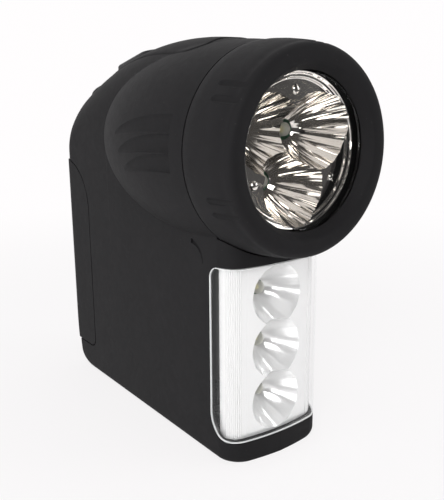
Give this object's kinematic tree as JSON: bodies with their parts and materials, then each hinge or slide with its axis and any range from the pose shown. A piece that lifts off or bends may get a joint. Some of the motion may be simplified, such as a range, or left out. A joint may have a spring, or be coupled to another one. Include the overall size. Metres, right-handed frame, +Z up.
{
  "type": "wind-up flashlight",
  "caption": "Hand-held wind-up flashlight with a round spot head, a wrap-round side lamp, push buttons on top and a folding crank on its side.",
  "frame": {"origin": "centre of the footprint, on the floor that the flat underside rests on", "axes": "-Y along the beam, +Z up, +X towards the crank"},
  "size_m": [0.0726, 0.144, 0.1474],
  "materials": {
    "housing": "matte soft-touch",
    "black_plastic": "satin",
    "pad": "matte",
    "clear": "clear polished",
    "chrome": "mirror",
    "led": "clear",
    "board": "lacquered",
    "gear": "moulded nylon",
    "steel": "plain",
    "copper": "enamelled wire",
    "brass": "plain",
    "sleeve": "shrink sleeve",
    "grey_plastic": "moulded",
    "ferrite": "sintered",
    "switch": "moulded"
  },
  "bodies": {
    "housing": {"housing_right": "housing", "housing_left": "housing", "bezel_ring": "housing", "head_lens": "clear", "lens_gasket": "pad", "head_reflector": "chrome", "head_led_1": "led", "head_led_2": "led", "head_led_3": "led", "head_led_board": "board", "side_lamp_cover": "clear", "side_reflector": "chrome", "side_led_1": "led", "side_led_2": "led", "side_led_3": "led", "side_led_board": "board", "switch_pad": "pad", "spot_switch": "switch", "lamp_switch": "switch", "switch_bracket": "grey_plastic", "battery_holder": "black_plastic", "battery_cell_1": "sleeve", "battery_cell_2": "sleeve", "battery_cell_3": "sleeve", "low_contact": "brass", "high_contact": "brass", "gear_axle_1": "steel", "gear_axle_2": "steel", "gear_plate": "grey_plastic", "plate_screw_1": "steel", "plate_screw_2": "steel", "plate_screw_3": "steel", "generator_can": "steel", "generator_lid": "steel", "generator_coil": "copper", "circuit_board": "board", "capacitor": "ferrite", "housing_screw_1": "steel", "housing_screw_2": "steel", "housing_screw_3": "steel"},
    "crank": {"crank_arm": "black_plastic", "crank_screw": "steel", "handle_pivot_pin": "steel", "drive_gear": "gear"},
    "swivel": {"handle_swivel": "grey_plastic"},
    "handle": {"crank_handle": "housing"},
    "first_gear": {"compound_gear_1": "gear"},
    "second_gear": {"compound_gear_2": "gear"},
    "rotor": {"generator_rotor": "ferrite", "rotor_pinion": "brass"},
    "spot_button": {"spot_button": "black_plastic"},
    "lamp_button": {"lamp_button": "black_plastic"},
    "rear_cover": {"rear_cover": "housing"}
  },
  "joints": [
    {"name": "crank_turn", "type": "hinge", "parent": "housing", "child": "crank", "pos_m": [0, 0.016, 0.044], "axis": [1, 0, 0], "continuous": true},
    {"name": "handle_fold", "type": "hinge", "parent": "crank", "child": "swivel", "pos_m": [0.02665, 0.016, 0.008], "axis": [0, 1, 0], "range_deg": [0, 90]},
    {"name": "handle_spin", "type": "hinge", "parent": "swivel", "child": "handle", "pos_m": [0.02665, 0.016, 0.008], "axis": [0, 0, 1], "continuous": true},
    {"name": "first_gear_turn", "type": "hinge", "parent": "housing", "child": "first_gear", "pos_m": [0, -0.00994, 0.03456], "axis": [1, 0, 0], "continuous": true},
    {"name": "second_gear_turn", "type": "hinge", "parent": "housing", "child": "second_gear", "pos_m": [0, -0.01213, 0.05966], "axis": [1, 0, 0], "continuous": true},
    {"name": "rotor_turn", "type": "hinge", "parent": "housing", "child": "rotor", "pos_m": [0, 0.00407, 0.07897], "axis": [1, 0, 0], "continuous": true},
    {"name": "spot_button_press", "type": "slide", "parent": "housing", "child": "spot_button", "axis": [0, 0, -1], "range_m": [0, 0.0008], "stiffness_N_per_m": 1500, "springref_m": -0.0004},
    {"name": "lamp_button_press", "type": "slide", "parent": "housing", "child": "lamp_button", "axis": [0, -0.6428, -0.766], "range_m": [0, 0.0008], "stiffness_N_per_m": 1500, "springref_m": -0.0004},
    {"name": "rear_cover_slide", "type": "slide", "parent": "housing", "child": "rear_cover", "axis": [0, 1, 0], "range_m": [0, 0.014]}
  ],
  "couplings": [
    {"joint": "first_gear_turn", "follows": "crank_turn", "ratio": -3.6},
    {"joint": "second_gear_turn", "follows": "crank_turn", "ratio": 11.52},
    {"joint": "rotor_turn", "follows": "crank_turn", "ratio": -36.864}
  ]
}
